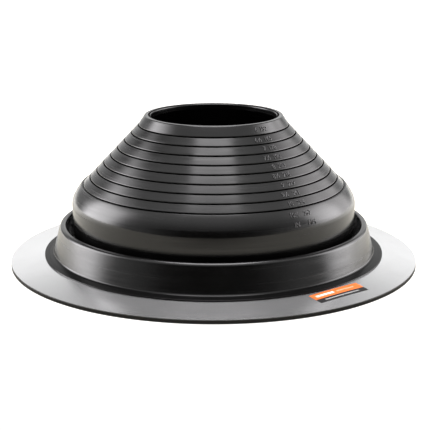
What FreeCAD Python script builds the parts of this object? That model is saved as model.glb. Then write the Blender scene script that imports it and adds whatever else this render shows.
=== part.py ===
import FreeCAD, Part
import math
import os
import re
import Sketcher

# Pipe flashing boot: a cone of rubber that is cut to the pipe's size and stretched over the pipe where
# it comes through a roof. It hangs in a folded collar, so that it can lean to the slope of the roof, and
# it is moulded to a flat base with a soft aluminium ring that is bent to the roof and screwed down.
#
# Millimetres. +Z is up along the pipe, and the origin is on the roof at the middle of the base. The
# rubber is one moulding, turned from a single section, and each distance below is measured in that
# section: "across" is away from the pipe's axis, "up" is above the roof.

SIZES = [
    ("mouth_radius", 61.0, "inside of the mouth, for the smallest pipe"),
    ("mouth_face", 6.0, "width of the mouth's flat top edge, up to its outer corner"),
    ("mouth_round", 1.5, "rounding of the mouth's two edges"),
    ("mouth_bead", 5.5, "height of the thick bead round the inside of the mouth"),
    ("top_band_run", 6.4, "first band, across, from the mouth's outer corner to the first groove"),
    ("top_band_rise", 9.4, "first band, up"),
    ("cone_slope", 46.7, "angle of the cone's side from level, degrees"),
    ("band_pitch", 9.98, "one pipe size to the next, along the slope"),
    ("groove_count", 9, "trimming grooves"),
    ("groove_width", 1.5, "trimming groove at the surface"),
    ("groove_depth", 1.1, "trimming groove, square to the surface"),
    ("cone_skin", 3.0, "thickness of the bands"),
    ("shoulder_land", 0.4, "band left between the last groove and the shoulder's edge"),
    ("shoulder_step", 1.1, "how far the shoulder stands out from the bands"),
    ("slope_round", 45.0, "upper curve of the shoulder"),
    ("shoulder_round", 15.8, "lower curve of the shoulder"),
    ("blend_angle", 25.0, "where the two curves meet, degrees above level"),
    ("shoulder_height", 58.3, "middle of the lower curve, above the roof"),
    ("wall_lean", 2.5, "how far the wall under the shoulder leans in, degrees"),
    ("gutter_gap", 6.6, "gutter between the shoulder and the collar"),
    ("gutter_floor", 12.0, "bottom of the gutter, above the roof"),
    ("gutter_skin", 3.0, "thickness under the gutter"),
    ("rim_width", 5.4, "width of the collar's top edge"),
    ("rim_height", 38.3, "collar's top edge, above the roof"),
    ("rim_round", 1.6, "rounding of the collar's top edge"),
    ("collar_draft", 15.0, "how far the collar's outside leans, degrees from upright"),
    ("collar_skin", 2.8, "thickness of the collar's two walls"),
    ("collar_tip_width", 2.0, "flat at the top of the hollow inside the collar"),
    ("foot_round", 2.5, "curve from the collar down to its lip"),
    ("lip_reach", 5.6, "lip's edge, outside the place where the collar's side would meet the roof"),
    ("lip_thickness", 1.4, "lip at its edge"),
    ("lip_bevel", 0.5, "bevel of the lip's upper edge"),
    ("ring_show", 32.9, "width of ring outside the lip"),
    ("ring_tuck", 7.0, "width of ring moulded in under the lip"),
    ("ring_sheet", 0.8, "thickness of the aluminium"),
    ("ring_dish", 8.2, "how much the ring falls towards its edge, degrees"),
    ("pad_edge", 3.0, "thickness of the rubber under the ring's edge"),
    ("channel_count", 4, "sealing channels in the underside"),
    ("channel_width", 3.0, "sealing channel"),
    ("channel_depth", 1.2, "sealing channel"),
    ("channel_pitch", 8.0, "one sealing channel to the next"),
    ("channel_margin", 8.0, "solid rubber outside the last channel"),
    ("label_length", 59.0, "label, along the ring"),
    ("label_width", 16.0, "label, across the ring"),
    ("label_margin", 1.4, "bare metal between the lip and the label"),
    ("label_film", 0.2, "thickness of the label"),
    ("label_angle", 39.3, "label, turned from the front towards +X, degrees"),
]
CUT_MARGIN = 0.4    # how far a cutting outline stands out of the solid
PART_FOLDER = "parts"

doc = FreeCAD.newDocument("PipeFlashingBoot")
sheet = doc.addObject("Spreadsheet::Sheet", "Sizes")
for row, (alias, value, note) in enumerate(SIZES, start=1):
    sheet.set(f"A{row}", alias)
    sheet.set(f"B{row}", str(value))
    sheet.setAlias(f"B{row}", alias)
    sheet.set(f"C{row}", note)
doc.recompute()


def bound(formula):
    """Write a formula of size names as an expression that reads them from the sheet."""
    return re.sub(r"\b([a-z]+(?:_[a-z]+)+)\b", r"Sizes.\1", formula)


def worth(formula):
    """What a formula of size names comes to now."""
    result = sheet.evalExpression(bound(formula))
    return float(getattr(result, "Value", result))


class Spot:
    """A point of the section: two formulas, how far across from the axis and how far up."""

    def __init__(self, across, up):
        self.across = across
        self.up = up

    def toward(self, angle, reach):
        """The point at this distance, in the direction of this angle above level and outwards."""
        across = f"({self.across} + ({reach}) * cos({angle}))"
        up = f"({self.up} + ({reach}) * sin({angle}))"
        return Spot(across, up)

    def place(self):
        return FreeCAD.Vector(worth(self.across), worth(self.up), 0)


def arc_between(start, end, radius, clockwise):
    """An arc under half a turn from start to end, and whether its own start is at the end."""
    half = (end - start) / 2
    side = FreeCAD.Vector(-half.y, half.x, 0).normalize()
    if clockwise:
        side = -side
    centre = start + half + side * math.sqrt(max(radius ** 2 - half.Length ** 2, 0))
    circle = Part.Circle(centre, FreeCAD.Vector(0, 0, 1), radius)
    first, last = (end, start) if clockwise else (start, end)
    angles = [math.atan2(point.y - centre.y, point.x - centre.x) for point in (first, last)]
    return Part.ArcOfCircle(circle, *angles), clockwise


def bind(sketch, kind, where, formula):
    """Add one dimension to a sketch and bind it to its formula."""
    number = sketch.addConstraint(Sketcher.Constraint(kind, *where, worth(formula)))
    sketch.setExpression(f"Constraints[{number}]", bound(formula))


def draw_outline(sketch, outline):
    """Draw a closed outline and bind it. Each step is a spot, and the arc that leads from it to the
    next one as (radius formula, "left" or "right" turn), or None for a straight line."""
    places = [spot.place() for spot, bend in outline]
    steps = []
    for index, (spot, bend) in enumerate(outline):
        start = places[index]
        end = places[(index + 1) % len(outline)]
        if bend is None:
            steps.append((sketch.addGeometry(Part.LineSegment(start, end), False), False))
        else:
            radius, turn = bend
            arc, swapped = arc_between(start, end, worth(radius), turn == "right")
            steps.append((sketch.addGeometry(arc, False), swapped))
            bind(sketch, "Radius", [steps[-1][0]], radius)
    for index, (geometry, swapped) in enumerate(steps):
        next_geometry, next_swapped = steps[(index + 1) % len(steps)]
        own_end = 1 if swapped else 2
        next_start = 2 if next_swapped else 1
        sketch.addConstraint(Sketcher.Constraint("Coincident", geometry, own_end, next_geometry, next_start))
        spot = outline[index][0]
        own_start = 2 if swapped else 1
        bind(sketch, "DistanceX", [-1, 1, geometry, own_start], spot.across)
        if spot.up == "0":
            sketch.addConstraint(Sketcher.Constraint("PointOnObject", geometry, own_start, -1))
        else:
            bind(sketch, "DistanceY", [-1, 1, geometry, own_start], spot.up)


def new_body(name, label):
    body = doc.addObject("PartDesign::Body", name)
    body.Label = label
    body.Placement = FreeCAD.Placement()
    return body


def section_sketch(body, name):
    """An empty sketch on the body's upright plane: its X is across and its Y is up."""
    sketch = body.newObject("Sketcher::SketchObject", name)
    plane = next(item for item in body.Origin.OriginFeatures if item.Role == "XZ_Plane")
    sketch.AttachmentSupport = [(plane, "")]
    sketch.MapMode = "FlatFace"
    return sketch


def turn_section(body, sketch, kind, name):
    """Turn a section all the way round the pipe's axis, as solid or as a cut."""
    feature = body.newObject(kind, name)
    feature.Profile = sketch
    feature.ReferenceAxis = (sketch, ["V_Axis"])
    feature.Angle = 360
    sketch.Visibility = False
    return feature


# --- the cone, from the mouth outwards and down ---
groove_line = "mouth_radius + mouth_face + top_band_run"
bands_length = "((groove_count - 1) * band_pitch + groove_width / 2 + shoulder_land)"
slope_end_across = (f"({groove_line} + {bands_length} * cos(cone_slope)"
                    " + shoulder_step * sin(cone_slope))")

# the two curves of the shoulder: their centres lie on the line on which they meet
slope_centre_across = f"({slope_end_across} - slope_round * sin(cone_slope))"
slope_centre_up = "(shoulder_height - (slope_round - shoulder_round) * sin(blend_angle))"
slope_centre = Spot(slope_centre_across, slope_centre_up)
shoulder_centre = Spot(slope_centre.toward("blend_angle", "slope_round - shoulder_round").across,
                       "shoulder_height")
shoulder_edge = slope_centre.toward("90 - cone_slope", "slope_round")
band_end = slope_centre.toward("90 - cone_slope", "slope_round - shoulder_step")
first_groove = band_end.toward("180 - cone_slope", bands_length)
mouth_corner = Spot("(mouth_radius + mouth_face)", f"({first_groove.up} + top_band_rise)")
top_band_fall = "atan2(top_band_rise; top_band_run)"
mouth_trim = f"(mouth_round * tan({top_band_fall} / 2))"
mouth_side = mouth_corner.toward(f"-{top_band_fall}", mouth_trim)

# inside of the cone and the shoulder
inner_skin = "(shoulder_step + cone_skin)"
inner_slope_end = slope_centre.toward("90 - cone_slope", f"slope_round - {inner_skin}")
bead_up = f"({mouth_corner.up} - mouth_bead)"
bead_across = f"({inner_slope_end.across} - ({bead_up} - {inner_slope_end.up}) / tan(cone_slope))"

# --- the gutter and the collar, from the shoulder outwards ---
# The gutter's floor is an arc that touches the leaning wall and the collar's upright inner wall. The
# skin under it is a second arc, which touches the backs of the same two walls.
wall_line = ("(" + shoulder_centre.across + " * cos(wall_lean) - shoulder_height * sin(wall_lean)"
             " + shoulder_round)")
collar_inside = f"({shoulder_centre.across} + shoulder_round + gutter_gap)"
collar_back = f"({collar_inside} + collar_skin)"


def bend_radius(upright, floor, leaning):
    """Radius of the arc that touches an upright line, a level floor and the leaning wall's line."""
    return (f"((({upright}) * cos(wall_lean) - ({floor}) * sin(wall_lean) - {leaning})"
            " / (1 + cos(wall_lean) + sin(wall_lean)))")


gutter_round = bend_radius(collar_inside, "gutter_floor", wall_line)
gutter_centre = Spot(f"({collar_inside} - {gutter_round})", f"(gutter_floor + {gutter_round})")
under_floor = "(gutter_floor - gutter_skin)"
under_round = bend_radius(collar_back, under_floor, f"({wall_line} - {inner_skin})")
under_centre = Spot(f"({collar_back} - {under_round})", f"({under_floor} + {under_round})")

rim_corner = Spot(f"({collar_inside} + rim_width)", "rim_height")
rim_trim = "(rim_round * tan((90 - collar_draft) / 2))"

# the hollow inside the collar: a narrow flat between the backs of the collar's two walls
collar_line = f"({rim_corner.across} * cos(collar_draft) + rim_height * sin(collar_draft))"
tip_across = f"({collar_back} + collar_tip_width)"
tip_up = f"(({collar_line} - collar_skin - {tip_across} * cos(collar_draft)) / sin(collar_draft))"
pad_inside = f"(({collar_line} - collar_skin) / cos(collar_draft))"

# --- the base, from the collar outwards ---
lip_edge = f"({collar_line} / cos(collar_draft) + lip_reach)"
ring_outside = f"({lip_edge} + ring_show)"
ring_inside = f"({lip_edge} - ring_tuck)"


def ring_top(across):
    """Height of the ring's upper face at this distance from the axis."""
    return f"(pad_edge + ring_sheet + ({ring_outside} - {across}) * tan(ring_dish))"


def ring_under(across):
    return f"(pad_edge + ({ring_outside} - {across}) * tan(ring_dish))"


# the foot's curve touches the collar's outside and the lip's upper face
lip_line = f"(pad_edge + ring_sheet + lip_thickness + {ring_outside} * tan(ring_dish))"
foot_up_part = f"({lip_line} + foot_round / cos(ring_dish))"
foot_across = (f"(({collar_line} + foot_round - {foot_up_part} * sin(collar_draft))"
               " / (cos(collar_draft) - tan(ring_dish) * sin(collar_draft)))")
foot_centre = Spot(foot_across, f"({foot_up_part} - {foot_across} * tan(ring_dish))")
lip_corner = Spot(lip_edge, f"({ring_top(lip_edge)} + lip_thickness)")

boot_section = [
    (Spot("mouth_radius", f"({mouth_corner.up} - mouth_round)"), ("mouth_round", "right")),
    (Spot("(mouth_radius + mouth_round)", mouth_corner.up), None),
    (Spot(f"({mouth_corner.across} - {mouth_trim})", mouth_corner.up), ("mouth_round", "right")),
    (mouth_side, None),
    (first_groove, None),
    (band_end, None),
    (shoulder_edge, ("slope_round", "right")),
    (shoulder_centre.toward("blend_angle", "shoulder_round"), ("shoulder_round", "right")),
    (shoulder_centre.toward("-wall_lean", "shoulder_round"), None),
    (gutter_centre.toward("180 - wall_lean", gutter_round), (gutter_round, "left")),
    (Spot(gutter_centre.across, "gutter_floor"), (gutter_round, "left")),
    (Spot(collar_inside, gutter_centre.up), None),
    (Spot(collar_inside, "(rim_height - rim_round)"), ("rim_round", "right")),
    (Spot(f"({collar_inside} + rim_round)", "rim_height"), None),
    (Spot(f"({rim_corner.across} - {rim_trim})", "rim_height"), ("rim_round", "right")),
    (rim_corner.toward("collar_draft - 90", rim_trim), None),
    (foot_centre.toward("180 + collar_draft", "foot_round"), ("foot_round", "left")),
    (foot_centre.toward("270 - ring_dish", "foot_round"), None),
    (lip_corner.toward("180 - ring_dish", "lip_bevel"), None),
    (Spot(lip_edge, f"({lip_corner.up} - lip_bevel)"), None),
    (Spot(lip_edge, ring_top(lip_edge)), None),
    (Spot(ring_inside, ring_top(ring_inside)), None),
    (Spot(ring_inside, ring_under(ring_inside)), None),
    (Spot(ring_outside, "pad_edge"), None),
    (Spot(ring_outside, "0"), None),
    (Spot(pad_inside, "0"), None),
    (Spot(tip_across, tip_up), None),
    (Spot(collar_back, tip_up), None),
    (Spot(collar_back, under_centre.up), (under_round, "right")),
    (Spot(under_centre.across, under_floor), (under_round, "right")),
    (under_centre.toward("180 - wall_lean", under_round), None),
    (shoulder_centre.toward("-wall_lean", f"shoulder_round - {inner_skin}"),
     (f"(shoulder_round - {inner_skin})", "left")),
    (shoulder_centre.toward("blend_angle", f"shoulder_round - {inner_skin}"),
     (f"(slope_round - {inner_skin})", "left")),
    (inner_slope_end, None),
    (Spot(bead_across, bead_up), None),
    (Spot("mouth_radius", bead_up), None),
]

# --- the rubber moulding ---
boot = new_body("RubberBoot", "rubber_boot")
boot_sketch = section_sketch(boot, "BootSection")
draw_outline(boot_sketch, boot_section)
turn_section(boot, boot_sketch, "PartDesign::Revolution", "BootMoulding")

# trimming grooves: V cuts, one at the end of each pipe size
half_cut = f"(groove_width / 2 * (1 + {CUT_MARGIN} / groove_depth))"
groove_sketch = section_sketch(boot, "TrimmingGrooves")
for number in range(round(worth("groove_count"))):
    centre = first_groove.toward("-cone_slope", f"{number} * band_pitch")
    above = centre.toward("90 - cone_slope", str(CUT_MARGIN))
    draw_outline(groove_sketch, [
        (above.toward("180 - cone_slope", half_cut), None),
        (above.toward("-cone_slope", half_cut), None),
        (centre.toward("270 - cone_slope", "groove_depth"), None),
    ])
turn_section(boot, groove_sketch, "PartDesign::Groove", "TrimmingCuts")

# sealing channels: the ribs left between them bear on the roof
channel_sketch = section_sketch(boot, "SealingChannels")
for number in range(round(worth("channel_count"))):
    outer = f"({ring_outside} - channel_margin - {number} * channel_pitch)"
    inner = f"({outer} - channel_width)"
    draw_outline(channel_sketch, [
        (Spot(inner, "channel_depth"), None),
        (Spot(outer, "channel_depth"), None),
        (Spot(outer, "0"), None),
        (Spot(inner, "0"), None),
    ])
turn_section(boot, channel_sketch, "PartDesign::Groove", "SealingCuts")

# --- the aluminium ring ---
ring = new_body("AluminiumRing", "aluminium_ring")
ring_sketch = section_sketch(ring, "RingSection")
draw_outline(ring_sketch, [
    (Spot(ring_inside, ring_top(ring_inside)), None),
    (Spot(ring_outside, ring_top(ring_outside)), None),
    (Spot(ring_outside, "pad_edge"), None),
    (Spot(ring_inside, ring_under(ring_inside)), None),
])
turn_section(ring, ring_sketch, "PartDesign::Revolution", "RingSheet")

# --- the label: a film on the ring, bent to the ring's cone ---
ring_edge_up = ring_top(ring_outside)
film = doc.addObject("Part::Cone", "Film")
metal = doc.addObject("Part::Cone", "Metal")
for cone, height in ((film, f"{ring_edge_up} + label_film"), (metal, ring_edge_up)):
    cone.setExpression("Radius1", bound(ring_outside))
    cone.setExpression("Radius2", bound(lip_edge))
    cone.setExpression("Height", bound(f"({ring_outside} - {lip_edge}) * tan(ring_dish)"))
    cone.setExpression("Placement.Base.z", bound(height))
film_skin = doc.addObject("Part::Cut", "FilmSkin")
film_skin.Base = film
film_skin.Tool = metal
label_outline = doc.addObject("Part::Box", "LabelOutline")
label_outline.setExpression("Length", bound("label_length"))
label_outline.setExpression("Width", bound("label_width"))
label_outline.setExpression("Height", bound("rim_height"))
label_outline.setExpression("Placement.Base.x", bound("-label_length / 2"))
label_outline.setExpression("Placement.Base.y", bound(f"-({lip_edge} + label_margin + label_width)"))
label = doc.addObject("Part::Common", "RingLabel")
label.Label = "ring_label"
label.Base = film_skin
label.Tool = label_outline
label.Placement = FreeCAD.Placement(FreeCAD.Vector(0, 0, 0), FreeCAD.Rotation(FreeCAD.Vector(0, 0, 1), 0))
label.setExpression("Placement.Rotation.Angle", bound("label_angle"))

doc.recompute()

# --- check every object, then write the pieces ---
for item in doc.Objects:
    if "Invalid" in item.State or "Error" in item.State:
        raise RuntimeError(f"{item.Name} failed: {item.State}")
stages = [doc.getObject(name).Shape.Volume for name in ("BootMoulding", "TrimmingCuts", "SealingCuts")]
if not stages[0] > stages[1] > stages[2]:
    raise RuntimeError("a groove or a channel cut nothing")
os.makedirs(PART_FOLDER, exist_ok=True)
for piece in (boot, ring, label):
    shape = piece.Shape
    if shape.isNull() or not shape.isValid():
        raise RuntimeError(f"{piece.Label} has no valid shape")
    shape.exportStep(os.path.join(PART_FOLDER, piece.Label + ".step"))
    print(piece.Label, "volume", round(shape.Volume / 1000, 1), "cm3, faces", len(shape.Faces))
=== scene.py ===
import bpy
import math
import numpy as np
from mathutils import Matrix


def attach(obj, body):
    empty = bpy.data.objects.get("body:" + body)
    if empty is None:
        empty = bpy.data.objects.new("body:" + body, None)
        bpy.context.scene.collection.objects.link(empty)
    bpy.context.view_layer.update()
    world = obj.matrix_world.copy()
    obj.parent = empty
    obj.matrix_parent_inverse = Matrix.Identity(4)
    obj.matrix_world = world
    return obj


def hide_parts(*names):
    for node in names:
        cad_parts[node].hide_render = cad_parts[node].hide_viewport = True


# Pipe flashing boot: the rubber moulding and the aluminium ring are turned surfaces, and the label
# is a film bent to the ring. Metres, +Z up along the pipe, -Y towards the viewer.

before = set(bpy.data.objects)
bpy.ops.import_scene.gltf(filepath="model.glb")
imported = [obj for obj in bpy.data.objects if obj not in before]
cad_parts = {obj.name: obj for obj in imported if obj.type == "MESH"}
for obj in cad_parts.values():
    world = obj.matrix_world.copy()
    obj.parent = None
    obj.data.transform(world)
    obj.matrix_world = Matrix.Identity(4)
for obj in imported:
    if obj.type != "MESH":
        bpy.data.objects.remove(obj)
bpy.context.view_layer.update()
print("frame loaded:", ", ".join(sorted(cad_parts)))


def along(angle):
    # unit vector (across, up), this many degrees above level
    return np.array([math.cos(math.radians(angle)), math.sin(math.radians(angle))])


def meet(startA, alongA, startB, alongB):
    # where two straight lines of the section cross
    steps = np.linalg.solve(np.column_stack([alongA, -alongB]), startB - startA)
    return startA + alongA * steps[0]


rounding = {
    "step": 7.0,                # degrees between the points of an arc
    "tinyRadius": 0.0007,       # up to this radius the steps are wider
    "tinyStep": 28.0,
    "same": 1e-6,               # points nearer than this are one point
}


def roundedPath(corners, step=rounding["step"], tinyStep=rounding["tinyStep"]):
    # Closed outline with every corner rounded. A corner is cut back on both sides by its radius
    # times the tangent of half the turn, and an arc joins the two cuts. Returns points and
    # outward normals.
    spots = np.array([corner[:2] for corner in corners])
    radii = np.array([corner[2] for corner in corners])
    arrive = spots - np.roll(spots, 1, axis=0)
    arrive /= np.linalg.norm(arrive, axis=1)[:, None]
    leave = np.roll(arrive, -1, axis=0)
    turn = np.arctan2(arrive[:, 0] * leave[:, 1] - arrive[:, 1] * leave[:, 0],
                      (arrive * leave).sum(axis=1))
    trim = radii * np.tan(np.abs(turn) / 2)
    points, normals = [], []
    for spot, way, bend, radius, cut in zip(spots, arrive, turn, radii, trim):
        widest = step if radius > rounding["tinyRadius"] else tinyStep
        count = max(3, math.ceil(abs(math.degrees(bend)) / widest) + 1)
        heading = math.atan2(way[1], way[0]) + np.linspace(0, bend, count)
        outward = np.column_stack([-np.sin(heading), np.cos(heading)])
        side = math.copysign(1.0, bend)
        centre = spot - way * cut + side * radius * outward[0]
        points.append(centre - side * radius * outward)
        normals.append(outward)
    # where two arcs meet, their shared point is kept once
    points, normals = np.vstack(points), np.vstack(normals)
    apart = np.linalg.norm(points - np.roll(points, 1, axis=0), axis=1) > rounding["same"]
    return points[apart], normals[apart]


def turnedMesh(name, path, normals, turns):
    # Surface of revolution: a point of the section at (across, up) goes to
    # (across * sin(angle), -across * cos(angle), up), for every angle round the axis.
    angle = np.linspace(0, 2 * np.pi, turns, endpoint=False)[:, None]

    def spin(row):
        return np.stack([row[:, 0] * np.sin(angle), -row[:, 0] * np.cos(angle),
                         row[:, 1] + 0 * angle], axis=-1).reshape(-1, 3)

    count = len(path)
    i, j = np.meshgrid(np.arange(turns), np.arange(count), indexing="ij")
    nextI, nextJ = (i + 1) % turns, (j + 1) % count
    quads = np.stack([i * count + j, i * count + nextJ,
                      nextI * count + nextJ, nextI * count + j], axis=-1)
    mesh = gridMesh(name, spin(path), quads.reshape(-1, 4))
    mesh.normals_split_custom_set_from_vertices(spin(normals))
    return mesh


def gridMesh(name, points, faces):
    # mesh from an array of points and an array of faces with equal numbers of corners
    mesh = bpy.data.meshes.new(name)
    corners = faces.shape[1]
    mesh.vertices.add(len(points))
    mesh.vertices.foreach_set("co", np.ascontiguousarray(points, dtype=np.float32).ravel())
    mesh.loops.add(faces.size)
    mesh.loops.foreach_set("vertex_index", faces.ravel().astype(np.int32))
    mesh.polygons.add(len(faces))
    mesh.polygons.foreach_set("loop_start", np.arange(0, faces.size, corners, dtype=np.int32))
    mesh.update(calc_edges=True)
    mesh.validate()
    mesh.shade_smooth()
    return mesh


def addPiece(name, mesh, material, node=None):
    piece = bpy.data.objects.new(name, mesh)
    bpy.context.scene.collection.objects.link(piece)
    mesh.materials.append(material)
    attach(piece, "root")
    if node:
        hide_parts(node)


class Value:
    # wraps a socket, so that sums and products of values are written as plain expressions
    def __init__(self, shader, socket):
        self.shader = shader
        self.socket = socket

    def __add__(self, other):
        return self.shader.calc("ADD", self, other)

    def __radd__(self, other):
        return self.shader.calc("ADD", other, self)

    def __sub__(self, other):
        return self.shader.calc("SUBTRACT", self, other)

    def __rsub__(self, other):
        return self.shader.calc("SUBTRACT", other, self)

    def __mul__(self, other):
        return self.shader.calc("MULTIPLY", self, other)

    def __rmul__(self, other):
        return self.shader.calc("MULTIPLY", other, self)

    def __truediv__(self, other):
        return self.shader.calc("DIVIDE", self, other)

    def root(self):
        return self.shader.calc("SQRT", self)

    def fraction(self):
        return self.shader.calc("FRACT", self)

    def ramp(self, low, high):
        # 0 below low, 1 above high, smooth between
        return self.shader.value(self.shader.node("MapRange", {"interpolation_type": "SMOOTHSTEP"},
                                                  Value=self, From_Min=low, From_Max=high))


class Shader:
    # a material's or the world's node tree, emptied, with one method for every node
    def __init__(self, owner):
        owner.use_nodes = True
        self.tree = owner.node_tree
        self.tree.nodes.clear()

    def node(self, kind, settings=None, **inputs):
        node = self.tree.nodes.new("ShaderNode" + kind)
        for key, value in (settings or {}).items():
            setattr(node, key, value)
        for key, value in inputs.items():
            # n0 and n1 are sockets by number, and other names have a space for each underscore
            numbered = key[0] == "n" and key[1:].isdigit()
            place = node.inputs[int(key[1:]) if numbered else key.replace("_", " ")]
            if isinstance(value, Value):
                self.tree.links.new(value.socket, place)
            elif isinstance(value, bpy.types.NodeSocket):
                self.tree.links.new(value, place)
            else:
                place.default_value = value
        return node

    def calc(self, operation, *inputs):
        places = {f"n{place}": item for place, item in enumerate(inputs)}
        return self.value(self.node("Math", {"operation": operation}, **places))

    def value(self, node, output=0):
        return Value(self, node.outputs[output])

    def mixColour(self, factor, first, second):
        node = self.node("Mix", {"data_type": "RGBA"}, n0=factor, n6=first, n7=second)
        return node.outputs[2]


def newMaterial(name):
    material = bpy.data.materials.new(name)
    return material, Shader(material)


cameraSetup = {
    "distance": 1.1532,         # from the pipe's axis
    "height": 0.3447,
    "tilt": 14.71,              # degrees down from level
    "lens": 100.47,
    "shift": (0.0033, 0.0019),
    "nearest": 0.05,
}


def addCamera():
    data = bpy.data.cameras.new("studioCamera")
    data.lens = cameraSetup["lens"]
    data.shift_x, data.shift_y = cameraSetup["shift"]
    data.clip_start = cameraSetup["nearest"]
    camera = bpy.data.objects.new("studioCamera", data)
    camera.location = (0, -cameraSetup["distance"], cameraSetup["height"])
    camera.rotation_euler = (math.radians(90 - cameraSetup["tilt"]), 0, 0)
    bpy.context.scene.collection.objects.link(camera)
    bpy.context.scene.camera = camera


addCamera()
print("camera placed")


boot = {
    "mouthRadius": 0.061, "mouthFace": 0.006, "mouthRound": 0.0015, "beadHeight": 0.0055,
    "topBandRun": 0.0064, "topBandRise": 0.0094,
    "slope": 46.7, "bandPitch": 0.00998, "grooves": 9,
    "grooveWidth": 0.0013, "grooveDepth": 0.0015, "grooveRound": 0.0003, "bandFoot": 0.0007,
    "skin": 0.003, "crown": 0.00001,            # crown: how far a band stands up in its middle
    "shoulderLand": 0.0004, "shoulderStep": 0.0011, "stepRound": 0.0005,
    "slopeRound": 0.045, "shoulderRound": 0.0158, "blend": 25.0, "shoulderHeight": 0.0583,
    "wallLean": 2.5, "gutterGap": 0.0066, "gutterFloor": 0.012, "gutterSkin": 0.003,
    "rimWidth": 0.0054, "rimHeight": 0.0383, "rimRound": 0.0016, "rimOuterRound": 0.0036,
    "collarDraft": 15.0, "collarSkin": 0.0028, "collarTip": 0.002, "footRound": 0.0026,
    "lipReach": 0.0056, "lipThickness": 0.0014, "lipRound": 0.0005,
    "ringShow": 0.0329, "ringTuck": 0.007, "ringSheet": 0.0008, "ringDish": 8.2, "padEdge": 0.003,
    "channels": 4, "channelWidth": 0.003, "channelDepth": 0.0012, "channelPitch": 0.008,
    "channelMargin": 0.008,
    "smallRound": 0.0003, "turns": 200,
}

slopeDown, slopeOut = along(-boot["slope"]), along(90 - boot["slope"])
bandsLength = ((boot["grooves"] - 1) * boot["bandPitch"] + boot["grooveWidth"] / 2
               + boot["shoulderLand"])
slopeEnd = (boot["mouthRadius"] + boot["mouthFace"] + boot["topBandRun"]
            + bandsLength * slopeDown[0] + boot["shoulderStep"] * slopeOut[0])
blendReach = boot["slopeRound"] - boot["shoulderRound"]
slopeCentre = np.array([slopeEnd - boot["slopeRound"] * slopeOut[0],
                        boot["shoulderHeight"] - blendReach * along(boot["blend"])[1]])
shoulderCentre = slopeCentre + blendReach * along(boot["blend"])
bandEnd = slopeCentre + (boot["slopeRound"] - boot["shoulderStep"]) * slopeOut
firstGroove = bandEnd - slopeDown * bandsLength
mouthCorner = np.array([boot["mouthRadius"] + boot["mouthFace"],
                        firstGroove[1] + boot["topBandRise"]])

# straight lines of the section: a spot on each, and its direction as the outline walks down it
wallDown = along(-90 - boot["wallLean"])
blendDown = along(boot["blend"] - 90)
collarDown = along(boot["collarDraft"] - 90)
dishDown = along(-boot["ringDish"])
level, upright = np.array([1.0, 0.0]), np.array([0.0, 1.0])
innerSkin = boot["shoulderStep"] + boot["skin"]
collarInside = shoulderCentre[0] + boot["shoulderRound"] + boot["gutterGap"]
collarBack = collarInside + boot["collarSkin"]
rimCorner = np.array([collarInside + boot["rimWidth"], boot["rimHeight"]])
roofCross = meet(rimCorner, collarDown, np.zeros(2), level)
lipEdge = roofCross[0] + boot["lipReach"]
ringOutside = lipEdge + boot["ringShow"]
ringInside = lipEdge - boot["ringTuck"]
ringCorner = np.array([ringOutside, boot["padEdge"] + boot["ringSheet"]])


def onRing(across, lift=0.0):
    # spot on the ring's dished upper face, or so much above it
    rise = (ringOutside - across) * -dishDown[1] / dishDown[0]
    return np.array([across, ringCorner[1] + rise + lift])


def bendRadius(uprightAcross, floorUp, wallSpot):
    # radius of the arc that touches the leaning wall, a level floor and an upright wall
    wallNormal = along(-boot["wallLean"])
    gap = uprightAcross * wallNormal[0] + floorUp * wallNormal[1] - wallSpot @ wallNormal
    return gap / (1 + wallNormal[0] - wallNormal[1])


def shoulderCorners(inset):
    # the two rounded corners of the shoulder, this far inside its outer face
    slopeSpot = slopeCentre + (boot["slopeRound"] - inset) * slopeOut
    blendSpot = slopeCentre + (boot["slopeRound"] - inset) * along(boot["blend"])
    wallSpot = shoulderCentre + (boot["shoulderRound"] - inset) * along(-boot["wallLean"])
    upper = meet(slopeSpot, slopeDown, blendSpot, blendDown)
    lower = meet(blendSpot, blendDown, wallSpot, wallDown)
    return upper, lower, wallSpot


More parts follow.
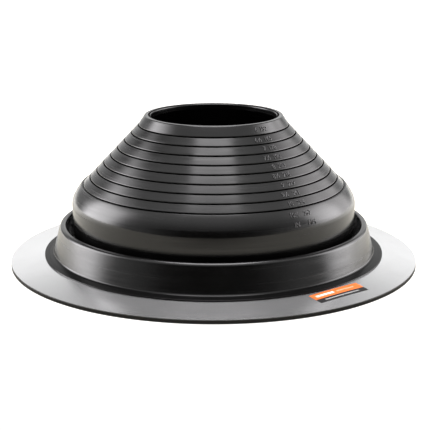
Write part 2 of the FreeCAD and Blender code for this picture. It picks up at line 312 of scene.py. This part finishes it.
def bootSection():
    # The outline's corners (across, up, radius), walked from the mouth down the outside, along the
    # underside, and up the inside. Where two arcs fill a gutter, they stay a hair apart.
    small, lipRound, apart = boot["smallRound"], boot["lipRound"], 0.999
    corners = [(boot["mouthRadius"], mouthCorner[1], boot["mouthRound"]),
               (*mouthCorner, boot["mouthRound"])]
    topDown = (firstGroove - mouthCorner) / np.linalg.norm(firstGroove - mouthCorner)
    topOut = np.array([-topDown[1], topDown[0]])
    half, lip, deep = boot["grooveWidth"] / 2, boot["grooveRound"], boot["grooveDepth"]

    # Each band, and the groove under it. A band is an arc that stands up in its middle by the
    # crown: its radius is the square of half the chord over twice the rise, less a fifth for the ends.
    bandTop, bandDown, bandOut = mouthCorner, topDown, topOut
    for number in range(boot["grooves"]):
        centre = firstGroove + slopeDown * boot["bandPitch"] * number
        length = np.linalg.norm(centre - bandTop) - half
        middle = bandTop + bandDown * length / 2 + bandOut * boot["crown"] * 2
        arcRadius = 0.8 * (length / 2) ** 2 / (boot["crown"] * 2)
        corners += [(*middle, arcRadius), (*(centre - bandDown * half), boot["bandFoot"]),
                    (*(centre - slopeDown * half - slopeOut * deep), small / 2),
                    (*(centre + slopeDown * half - slopeOut * deep), small / 2),
                    (*(centre + slopeDown * half), lip)]
        bandTop, bandDown, bandOut = centre + slopeDown * half, slopeDown, slopeOut

    # the step, whose rounding takes a little off the shoulder's first curve, and the shoulder
    upper, lower, wallSpot = shoulderCorners(0)
    shoulderEdge = bandEnd + slopeOut * boot["shoulderStep"]
    halfTurn = math.radians((90 - boot["slope"] - boot["blend"]) / 2)
    corners += [(*bandEnd, small / 2), (*shoulderEdge, boot["stepRound"]),
                (*upper, boot["slopeRound"] - boot["stepRound"] / math.tan(halfTurn)),
                (*lower, boot["shoulderRound"])]

    # gutter, collar, foot and lip
    gutterRound = bendRadius(collarInside, boot["gutterFloor"], wallSpot) * apart
    gutterIn = meet(wallSpot, wallDown, np.array([0, boot["gutterFloor"]]), level)
    foot = meet(rimCorner, collarDown, onRing(ringOutside, boot["lipThickness"]), dishDown)
    corners += [(*gutterIn, gutterRound), (collarInside, boot["gutterFloor"], gutterRound),
                (collarInside, boot["rimHeight"], boot["rimRound"]),
                (*rimCorner, boot["rimOuterRound"]),
                (*foot, boot["footRound"]), (*onRing(lipEdge, boot["lipThickness"]), lipRound),
                (*onRing(lipEdge), small / 3)]

    # slot of the ring, pad and the sealing channels under it
    corners += [(*onRing(ringInside), small / 3),
                (*onRing(ringInside, -boot["ringSheet"]), small / 3),
                (ringOutside, boot["padEdge"], small), (ringOutside, 0, small)]
    for number in range(boot["channels"]):
        outer = ringOutside - boot["channelMargin"] - number * boot["channelPitch"]
        inner = outer - boot["channelWidth"]
        corners += [(outer, 0, small), (outer, boot["channelDepth"], small),
                    (inner, boot["channelDepth"], small), (inner, 0, small)]

    # hollow in the collar, skin under the gutter, inside of the shoulder and the cone
    collarBackSpot = rimCorner - boot["collarSkin"] * along(boot["collarDraft"])
    padInside = meet(collarBackSpot, collarDown, np.zeros(2), level)
    tipAcross = collarBack + boot["collarTip"]
    tip = meet(collarBackSpot, collarDown, np.array([tipAcross, 0]), upright)
    underFloor = boot["gutterFloor"] - boot["gutterSkin"]
    upperIn, lowerIn, wallIn = shoulderCorners(innerSkin)
    underRound = bendRadius(collarBack, underFloor, wallIn) * apart
    underIn = meet(wallIn, wallDown, np.array([0, underFloor]), level)
    beadUp = mouthCorner[1] - boot["beadHeight"]
    bead = meet(upperIn, slopeDown, np.array([0, beadUp]), level)
    corners += [(*padInside, small), (*tip, small), (collarBack, tip[1], small),
                (collarBack, underFloor, underRound), (*underIn, underRound),
                (*lowerIn, boot["shoulderRound"] - innerSkin),
                (*upperIn, boot["slopeRound"] - innerSkin),
                (*bead, small), (boot["mouthRadius"], beadUp, small)]
    return roundedPath(corners)


rubber = {
    "dark": (0.0022, 0.0021, 0.0020, 1), "light": (0.0042, 0.0041, 0.0042, 1), "roughness": 0.215,
    # colour of the painted shade in the grooves and on the foot
    "paintedShade": (0.003, 0.003, 0.003, 1),
    "marks": 330, "marksCircle": 0.9,           # noise cells a metre, and a circle's radius
    "bloomScale": 38.0, "speckScale": 900.0,
    "bloomGloss": 0.10, "marksGloss": 0.36,     # how far each changes the roughness
    "bump": 0.22, "bumpHeight": 0.0001, "refraction": 1.5,
    "grooveStart": (0.0004, 0.0008),            # depths between which a groove is painted black as shade
    "grooveBack": (0.0020, 0.0023),             # and past the groove's bottom, the painted shade stops
    "grooveFloor": 0.0008,                      # the mask fades over this, below the last band
    "footSpan": 0.0014, "footInside": 0.0022,   # soft edge of the foot's painted shade, and where it starts
    "footShade": 0.6,
}


def rubberMaterial(name, dark, light, roughness):
    # Moulded black rubber: satin, with fine marks turned into the mould, which run round the pipe's
    # axis, and a slightly uneven bloom. Its grooves and foot are painted with shade.
    material, shader = newMaterial(name)
    place = shader.node("TexCoord").outputs["Object"]
    parts = shader.node("SeparateXYZ", Vector=place)
    across, deep, up = (shader.value(parts, axis) for axis in range(3))
    radius = (across * across + deep * deep).root()
    # position round the axis as a small circle, so that the marks have no seam
    circle = rubber["marksCircle"]
    marks = shader.node("CombineXYZ", X=across / radius * circle, Y=deep / radius * circle,
                        Z=(radius - up) * rubber["marks"])
    fine = shader.value(shader.node("TexNoise", Vector=marks.outputs[0], Scale=1.0, Detail=3.0,
                                    Roughness=0.6))
    bloom = shader.value(shader.node("TexNoise", Vector=place, Scale=rubber["bloomScale"],
                                     Detail=4.0, Roughness=0.65))
    speck = shader.value(shader.node("TexNoise", Vector=place, Scale=rubber["speckScale"],
                                     Detail=2.0))
    bump = shader.node("Bump", Strength=rubber["bump"], Distance=rubber["bumpHeight"],
                       Height=fine * 0.75 + speck * 0.25)
    # A groove's walls are painted black and matt: painted shade. The mask follows how far a place lies
    # under the bands' outer line, down to the bottom of the groove, above the shoulder only.
    sunk = float(firstGroove @ slopeOut) - (radius * float(slopeOut[0]) + up * float(slopeOut[1]))
    groove = sunk.ramp(*rubber["grooveStart"]) * (1 - sunk.ramp(*rubber["grooveBack"]))
    groove = groove * up.ramp(float(bandEnd[1]) - rubber["grooveFloor"], float(bandEnd[1]))
    # the foot, its lip and the pad outside them are partly painted with shade, which dims their
    # highlights
    outer = float(ringInside) - rubber["footInside"]
    foot = radius.ramp(outer, outer + rubber["footSpan"]) * rubber["footShade"]
    # share of painted shade: all of it in the grooves, part of it on the foot
    paintedShadeMask = groove + (1 - groove) * foot
    gloss = (bloom - 0.5) * rubber["bloomGloss"] + (fine - 0.5) * rubber["marksGloss"]
    surface = shader.node("BsdfPrincipled", Roughness=roughness + gloss, Normal=bump.outputs[0],
                          Base_Color=shader.mixColour(bloom.ramp(0.35, 0.75), dark, light))
    surface.inputs["IOR"].default_value = rubber["refraction"]
    # the painted shade: a near-black matt surface mixed over the rubber
    paintedShade = shader.node("BsdfDiffuse", Color=rubber["paintedShade"])
    both = shader.node("MixShader", n0=paintedShadeMask, n1=surface.outputs[0], n2=paintedShade.outputs[0])
    shader.node("OutputMaterial", Surface=both.outputs[0])
    return material


path, pathNormals = bootSection()
bootMesh = turnedMesh("rubberMoulding", path, pathNormals, boot["turns"])
mouldedRubber = rubberMaterial("mouldedRubber", rubber["dark"], rubber["light"],
                               rubber["roughness"])
addPiece("rubberMoulding", bootMesh, mouldedRubber, "rubber_boot")
print("rubber moulding:", len(path), "points in the section,",
      2 * len(bootMesh.polygons), "triangles")


numbers = {
    "height": 0.0048,           # of a capital, along the slope
    "proud": 0.0006,
    "bevel": 0.025,             # of the letters' edges, in a letter size of 1
    "depth": 0.5,               # half the letters' depth before they are sunk, in the same size
    "stretch": 0.92,
    "smallestInches": 6.0,
    "inchesEnd": 35.0,          # degrees round from the front, right edge of the first column
    "millimetresStart": 37.2,   # left edge of the second column
    "unitsApart": 1.0,          # degrees by which each of IN and MM stands further out
    "capital": 0.73,            # height of a capital in a letter size of 1
    "shoulderRows": (0.0060, 0.0152),           # of the last two, down the shoulder's first curve
    "resolution": 3,
    # the letters' rubber is lighter than the moulding's: a painted highlight
    "dark": (0.068, 0.067, 0.068, 1), "light": (0.105, 0.103, 0.105, 1), "roughness": 0.35,
}


def textGrid(text):
    # the built-in font's letters as points (right, up, proud) and triangles
    curve = bpy.data.curves.new("letters", "FONT")
    curve.body = text
    curve.size = 1.0
    curve.extrude = numbers["depth"]
    curve.offset = -numbers["bevel"]
    curve.bevel_depth = numbers["bevel"]
    curve.bevel_resolution = 1
    curve.resolution_u = numbers["resolution"]
    holder = bpy.data.objects.new("letters", curve)
    bpy.context.scene.collection.objects.link(holder)
    mesh = bpy.data.meshes.new_from_object(holder)
    points = np.zeros(len(mesh.vertices) * 3)
    mesh.vertices.foreach_get("co", points)
    mesh.calc_loop_triangles()
    faces = np.zeros(len(mesh.loop_triangles) * 3, dtype=np.int32)
    mesh.loop_triangles.foreach_get("vertices", faces)
    bpy.data.objects.remove(holder)
    bpy.data.meshes.remove(mesh)
    bpy.data.curves.remove(curve)
    return points.reshape(-1, 3), faces.reshape(-1, 3)


def onBand(points, start, middle, down, out, fromRight):
    # Letters laid on a cone: right is the angle round the axis times the radius, up is against the
    # slope from the band's middle, and proud is square to the band.
    scale = numbers["height"] / numbers["capital"]
    right = points[:, 0] * scale * numbers["stretch"]
    if fromRight:
        right = right - right.max()
    climb = (points[:, 1] - numbers["capital"] / 2) * scale
    # the front of the depth keeps the bevel's own proportions, and the back sinks into the band
    front = numbers["depth"] + numbers["bevel"]
    sunk = np.maximum((points[:, 2] - front) * scale, -2 * numbers["proud"])
    proud = numbers["proud"] + sunk
    spot = middle[None] - down[None] * climb[:, None] + out[None] * proud[:, None]
    angle = math.radians(start) + right / middle[0]
    return np.stack([spot[:, 0] * np.sin(angle), -spot[:, 0] * np.cos(angle), spot[:, 1]], axis=-1)


def addNumbers():
    points, faces, count = [], [], 0
    topDown = (firstGroove - mouthCorner) / np.linalg.norm(firstGroove - mouthCorner)
    rows = [((mouthCorner + firstGroove) / 2, topDown)]
    rows += [(firstGroove + slopeDown * boot["bandPitch"] * (number + 0.5), slopeDown)
             for number in range(boot["grooves"] - 1)]
    # two rows below the last groove follow the shoulder's first curve
    for arc in numbers["shoulderRows"]:
        angle = 90 - boot["slope"] - math.degrees(arc / boot["slopeRound"])
        rows.append((slopeCentre + boot["slopeRound"] * along(angle), along(angle - 90)))
    for number, (middle, down) in enumerate(rows):
        inches = numbers["smallestInches"] + number / 2
        whole, halves = int(inches), inches % 1 > 0
        labels = [(f"{whole}½" if halves else f"{whole}", numbers["inchesEnd"], True),
                  (f"{round(inches * 25.4)}", numbers["millimetresStart"], False)]
        if number == len(rows) - 1:
            labels = [("IN", numbers["inchesEnd"] - numbers["unitsApart"], True),
                      ("MM", numbers["millimetresStart"] + numbers["unitsApart"], False)]
        out = np.array([-down[1], down[0]])
        for text, start, fromRight in labels:
            letterPoints, letterFaces = textGrid(text)
            points.append(onBand(letterPoints, start, middle, down, out, fromRight))
            faces.append(letterFaces + count)
            count += len(letterPoints)
    mesh = gridMesh("sizeNumbers", np.vstack(points), np.vstack(faces))
    mesh.shade_flat()
    # lighter rubber for the raised letters: a painted highlight, as they catch the light
    highlightRubber = rubberMaterial("letterHighlightRubber", numbers["dark"], numbers["light"], numbers["roughness"])
    addPiece("sizeNumbers", mesh, highlightRubber)
    print("size numbers:", len(mesh.polygons), "triangles")


addNumbers()


ring = {
    "edgeRound": 0.00015, "edgeStep": 15.0, "turns": 264,
    "bright": (0.82, 0.824, 0.828, 1), "clouded": (0.785, 0.786, 0.79, 1),
    "edgeShade": (0.10, 0.10, 0.10, 1), "edgeShadeFrom": (0.0002, 0.00008),     # painted shade on the outer edge, from these distances inside it
    "metallic": 0.92, "roughness": 0.24, "cutRoughness": 0.3,
    "cloudGloss": 0.06, "grainGloss": 0.05, "bump": 0.05, "bumpHeight": 0.0001,
    "grainScale": (14.0, 1500.0, 300.0), "cloudScale": 24.0,
}


def ringSection():
    # outline walked with the metal on its right: top face outwards, edge, underside inwards
    edge, step = ring["edgeRound"], ring["edgeStep"]
    return roundedPath([(*onRing(ringInside), edge), (*onRing(ringOutside), edge),
                        (*onRing(ringOutside, -boot["ringSheet"]), edge),
                        (*onRing(ringInside, -boot["ringSheet"]), edge)], step, 4 * step)


def aluminiumMaterial():
    # Soft bright sheet: rolling grain along X, faint cloudy handling marks, and the outer edge painted
    # dark grey as shade, and rougher
    material, shader = newMaterial("softAluminium")
    place = shader.node("TexCoord").outputs["Object"]
    stretched = shader.node("Mapping", Vector=place, Scale=ring["grainScale"])
    grain = shader.value(shader.node("TexNoise", Vector=stretched.outputs[0], Scale=1.0, Detail=4.0,
                                     Roughness=0.6))
    cloud = shader.value(shader.node("TexNoise", Vector=place, Scale=ring["cloudScale"], Detail=3.0,
                                     Roughness=0.6))
    bump = shader.node("Bump", Strength=ring["bump"], Distance=ring["bumpHeight"], Height=grain)
    parts = shader.node("SeparateXYZ", Vector=place)
    across, deep = shader.value(parts, 0), shader.value(parts, 1)
    inner, outer = (ringOutside - inset for inset in ring["edgeShadeFrom"])
    # the outer edge is painted dark grey: painted shade in place of its reflection
    cut = (across * across + deep * deep).root().ramp(inner, outer)
    face = shader.mixColour(cloud.ramp(0.3, 0.8), ring["bright"], ring["clouded"])
    gloss = ((cloud - 0.5) * ring["cloudGloss"] + (grain - 0.5) * ring["grainGloss"]
             + cut * ring["cutRoughness"])
    surface = shader.node("BsdfPrincipled", Metallic=ring["metallic"],
                          Roughness=ring["roughness"] + gloss, Normal=bump.outputs[0],
                          Base_Color=shader.mixColour(cut, face, ring["edgeShade"]))
    shader.node("OutputMaterial", Surface=surface.outputs[0])
    return material


ringPath, ringNormals = ringSection()
ringMesh = turnedMesh("aluminiumRing", ringPath, ringNormals, ring["turns"])
addPiece("aluminiumRing", ringMesh, aluminiumMaterial(), "aluminium_ring")
print("aluminium ring:", 2 * len(ringMesh.polygons), "triangles")


label = {
    "length": 0.059, "width": 0.016, "margin": 0.0014, "film": 0.0002, "angle": 39.3,
    "columns": 60, "rows": 16, "glue": 0.00002,
    "lower": 0.40,              # share of the width that the dark band takes
    "soft": 0.006,              # of a printed edge
    "bar": ((0.07, 0.44), (0.60, 0.80)), "blocks": 13.5, "gapInk": 0.35,
    "paleBar": ((0.50, 0.86), (0.64, 0.76)),
    "dashRow": ((0.14, 0.84), (0.15, 0.25)), "dashes": 46,
    "orange": (0.86, 0.185, 0.035, 1), "wornOrange": (0.90, 0.215, 0.05, 1),
    "barInk": (0.93, 0.90, 0.86, 1), "paleInk": (0.95, 0.72, 0.55, 1),
    "band": (0.018, 0.017, 0.018, 1), "dashInk": (0.75, 0.75, 0.74, 1),
    "roughness": 0.42, "wearGloss": 0.1, "wearScale": 60.0,
    "bump": 0.05, "bumpHeight": 0.0001, "refraction": 1.3,
}


def labelMesh():
    # A film bent to the ring's cone: a spot of the flat label at (right, away from the lip) lies at
    # its own distance from the axis, and the ring's height there gives its height.
    right, away = np.meshgrid(np.linspace(-0.5, 0.5, label["columns"] + 1) * label["length"],
                              np.linspace(0, 1, label["rows"] + 1), indexing="ij")
    front = lipEdge + label["margin"] + away * label["width"]
    turn = math.radians(label["angle"])
    spots = np.stack([right * math.cos(turn) + front * math.sin(turn),
                      right * math.sin(turn) - front * math.cos(turn)], axis=-1)
    across = np.linalg.norm(spots, axis=-1)
    height = ringCorner[1] + (ringOutside - across) * math.tan(math.radians(boot["ringDish"]))
    columns, rows = label["columns"] + 1, label["rows"] + 1
    layers = [np.dstack([spots, height + lift]).reshape(-1, 3)
              for lift in (label["film"], label["glue"])]
    i, j = np.meshgrid(np.arange(columns - 1), np.arange(rows - 1), indexing="ij")
    corner = (i * rows + j).ravel()
    top = np.stack([corner, corner + 1, corner + rows + 1, corner + rows], axis=-1)
    under = top[:, ::-1] + columns * rows
    # the film's edge joins the borders of the two layers
    border = np.concatenate([np.arange(columns) * rows, (columns - 1) * rows + np.arange(1, rows),
                             np.arange(columns - 2, -1, -1) * rows + rows - 1,
                             np.arange(rows - 2, 0, -1)])
    following = np.roll(border, -1)
    edge = np.stack([border, following, following + columns * rows, border + columns * rows],
                    axis=-1)
    mesh = gridMesh("ringLabel", np.vstack(layers), np.vstack([top, under, edge]))
    flat = mesh.uv_layers.new(name="flat")
    vertex = np.zeros(len(mesh.loops), dtype=np.int32)
    mesh.loops.foreach_get("vertex_index", vertex)
    vertex %= columns * rows
    spread = np.stack([vertex // rows / (columns - 1), 1 - vertex % rows / (rows - 1)], axis=-1)
    flat.data.foreach_set("uv", spread.ravel())
    return mesh


def labelMaterial():
    # Printed film: an orange field over a dark band, with plain bars and dashes in pale ink
    material, shader = newMaterial("printedFilm")
    flat = shader.node("UVMap", {"uv_map": "flat"}).outputs[0]
    parts = shader.node("SeparateXYZ", Vector=flat)
    u, v = shader.value(parts, 0), shader.value(parts, 1)

    def between(value, ends, soft=label["soft"]):
        low, high = ends
        return value.ramp(low - soft, low + soft) * (1 - value.ramp(high - soft, high + soft))

    def field(name, soft):
        # inside the named field's spans along and up the label
        sideways, upward = label[name]
        return between(u, sideways) * between(v, upward, soft)

    dark = 1 - v.ramp(label["lower"] - 0.01, label["lower"] + 0.01)
    blocks = (u * label["blocks"]).fraction().ramp(0.08, 0.26)
    bar = field("bar", 0.02) * (label["gapInk"] + blocks * (1 - label["gapInk"]))
    paleBar = field("paleBar", 0.02)
    dashes = (u * label["dashes"]).fraction().ramp(0.30, 0.42) * field("dashRow", 0.015)
    wear = shader.value(shader.node("TexNoise", Vector=flat, Scale=label["wearScale"], Detail=3.0))
    colour = shader.mixColour(wear.ramp(0.3, 0.8), label["orange"], label["wornOrange"])
    colour = shader.mixColour(bar * 0.92, colour, label["barInk"])
    colour = shader.mixColour(paleBar * 0.45, colour, label["paleInk"])
    colour = shader.mixColour(dark, colour, label["band"])
    colour = shader.mixColour(dashes * 0.75, colour, label["dashInk"])
    bump = shader.node("Bump", Strength=label["bump"], Distance=label["bumpHeight"], Height=wear)
    surface = shader.node("BsdfPrincipled", Base_Color=colour, Normal=bump.outputs[0],
                          Roughness=label["roughness"] + (wear - 0.5) * label["wearGloss"])
    surface.inputs["IOR"].default_value = label["refraction"]
    shader.node("OutputMaterial", Surface=surface.outputs[0])
    return material


addPiece("ringLabel", labelMesh(), labelMaterial(), "ring_label")
print("label placed")


studio = {
    "floorSide": 3.2, "floorFront": 0.285, "floorBack": 4.0, "floorDrop": 0.0004, "floorCells": 8,
    # under the object the table is painted nearly black: painted shade
    "floorPaint": (0.60, 0.58, 0.51, 1), "paintedShadeUnder": (0.03, 0.03, 0.03, 1),
    "floorSeen": 0.92,          # how bright the table looks to the camera, over its own shading
    "underEdge": (0.004, 0.001),                # where the painted shade under the object fades, inside and outside its edge
    "sideGlow": 1.2,            # extra brightness of the table near the side lamps, in reflections
    "sideAway": 1.35,           # of the upright lamps, from the axis
    "lampColour": (1.0, 0.98, 1.0),
    "backdrop": 1.05,           # how bright the room looks to the camera
}

# The lamps: side of the axis, depth and height of the centre, size in metres, radiance, and how far
# from the middle the glow stays even.
panels = {
    "topPanel": {"middle": (0, 0.015, 1.35), "size": (0.80, 1.09), "radiance": 5.2, "even": 0.8},
    "topRear": {"middle": (0, 0.25, 1.33), "size": (0.76, 0.55), "radiance": 3.6, "even": 1.0},
    "leftPanel": {"middle": (-1, 0.30, 0.50), "size": (1.6, 2.2), "radiance": 3.0, "even": 0.3},
    "leftCore": {"middle": (-1, 0.28, 0.44), "size": (1.15, 1.7), "radiance": 5.2, "even": 0.3,
                 "nearer": 0.02},
    "rightPanel": {"middle": (1, 0.70, 0.55), "size": (2.2, 2.4), "radiance": 2.4, "even": 0.3,
                   "colour": (1.0, 0.97, 0.98)},
    "rightCore": {"middle": (1, 0.26, 0.48), "size": (1.1, 1.45), "radiance": 4.6, "even": 0.0,
                  "nearer": 0.02},
}


def addPanel(name, panel):
    # Rectangular lamp. Its power is the radiance times pi times its area. The glow is even in the
    # middle and fades to nothing at the borders, by the product of one curve across and one up.
    lamp = bpy.data.lights.new(name, "AREA")
    lamp.shape = "RECTANGLE"
    lamp.size, lamp.size_y = panel["size"]
    lamp.color = panel.get("colour", studio["lampColour"])
    lamp.energy = panel["radiance"] * math.pi * lamp.size * lamp.size_y
    holder = bpy.data.objects.new(name, lamp)
    side, deep, up = panel["middle"]
    holder.location = (side * (studio["sideAway"] - panel.get("nearer", 0)), deep, up)
    holder.rotation_euler = (math.pi / 2, 0, side * math.pi / 2) if side else (0, 0, 0)
    bpy.context.scene.collection.objects.link(holder)
    if panel["even"] < 1:
        shader = Shader(lamp)
        spot = shader.node("SeparateXYZ", Vector=shader.node("NewGeometry").outputs["Parametric"])
        glow = 1
        for axis in (0, 1):
            off = shader.value(spot, axis) * 2 - 1
            glow = glow * (1 - (off * off).ramp(panel["even"] ** 2, 1.0))
        emission = shader.node("Emission", Color=(1, 1, 1, 1), Strength=glow)
        shader.node("OutputLight", Surface=emission.outputs[0])


# The room: brightness by direction. Heights, sides (squared) and depths are parts of a direction of
# length 1, and each pair is where a soft change starts and ends.
room = {
    "band": 1.02, "bandLosses": ((0.32, 0.44, 0.62), (0.38, 0.64, 0.40)),
    "footHeights": (0.08, 0.24), "footShare": 0.70,         # the band is dimmer at its foot
    "bandSides": (0.12, 0.30), "sideLoss": 0.6, "behind": 0.15,
    "front": 0.04, "ceiling": (0.35, 0.95), "ceilingGlow": 1.1,
    "frontSides": (0.15, 1.0), "frontSideGlow": 0.6,
    "turn": (-0.15, 0.45),      # from the front's brightness to the back's
}


def addWorld():
    # White to the camera. For the light and the reflections: a bright low band behind the object
    # that fades upwards, and a dim room in front.
    world = bpy.data.worlds.new("studioWorld")
    bpy.context.scene.world = world
    shader = Shader(world)
    direction = shader.node("SeparateXYZ", Vector=shader.node("TexCoord").outputs["Generated"])
    aside, back, up = (shader.value(direction, axis) for axis in range(3))
    fade = room["band"]
    for low, high, loss in room["bandLosses"]:
        fade = fade - up.ramp(low, high) * loss
    foot = room["footShare"] + up.ramp(*room["footHeights"]) * (1 - room["footShare"])
    sides = 1 - (aside * aside).ramp(*room["bandSides"]) * room["sideLoss"]
    band = fade * foot * sides + room["behind"]
    front = room["front"] + up.ramp(*room["ceiling"]) * room["ceilingGlow"]
    front = front + (aside * aside).ramp(*room["frontSides"]) * room["frontSideGlow"]
    glow = front + (band - front) * back.ramp(*room["turn"])
    rays = shader.node("LightPath")
    seen = shader.value(rays, 0)
    background = shader.node("Background", Color=(1, 1, 1, 1),
                             Strength=seen * studio["backdrop"] + (1 - seen) * glow)
    shader.node("OutputWorld", Surface=background.outputs[0])


def addFloor():
    # Pale level table, a hair under the object. To the camera and in reflections it glows to white,
    # and it keeps the shadow. Under the object it is painted nearly black and has no glow: painted
    # shade.
    cells = studio["floorCells"]
    row = cells + 1
    aside, back = np.meshgrid(np.linspace(-studio["floorSide"], studio["floorSide"], row),
                              np.linspace(-studio["floorFront"], studio["floorBack"], row),
                              indexing="ij")
    points = np.dstack([aside, back, 0 * aside - studio["floorDrop"]]).reshape(-1, 3)
    i, j = np.meshgrid(np.arange(cells), np.arange(cells), indexing="ij")
    corner = (i * row + j).ravel()
    faces = np.stack([corner, corner + row, corner + row + 1, corner + 1], axis=-1)
    mesh = gridMesh("studioFloor", points, faces)
    floor = bpy.data.objects.new("studioFloor", mesh)
    bpy.context.scene.collection.objects.link(floor)
    material, shader = newMaterial("paleTable")
    parts = shader.node("SeparateXYZ", Vector=shader.node("TexCoord").outputs["Object"])
    across, deep = shader.value(parts, 0), shader.value(parts, 1)
    inner, outer = ringOutside - studio["underEdge"][0], ringOutside + studio["underEdge"][1]
    outside = (across * across + deep * deep).root().ramp(inner, outer)
    rays = shader.node("LightPath")
    seen, mirrored = shader.value(rays, 0), shader.value(rays, 3)
    # painted shade: nearly black under the object, the pale paint outside it
    paint = shader.mixColour(outside, studio["paintedShadeUnder"], studio["floorPaint"])
    diffuse = shader.node("BsdfDiffuse", Color=paint)
    nearLamps = (across * across).ramp(0.03, 0.18) * deep.ramp(-0.30, 0.0) * studio["sideGlow"]
    glow = shader.node("Emission", Color=(1, 1, 1, 1),
                       Strength=seen * outside * studio["floorSeen"] + mirrored * nearLamps)
    both = shader.node("AddShader", n0=diffuse.outputs[0], n1=glow.outputs[0])
    shader.node("OutputMaterial", Surface=both.outputs[0])
    mesh.materials.append(material)


for name, panel in panels.items():
    addPanel(name, panel)
addWorld()
addFloor()
bpy.context.scene.view_settings.view_transform = "Standard"
print("studio lit")
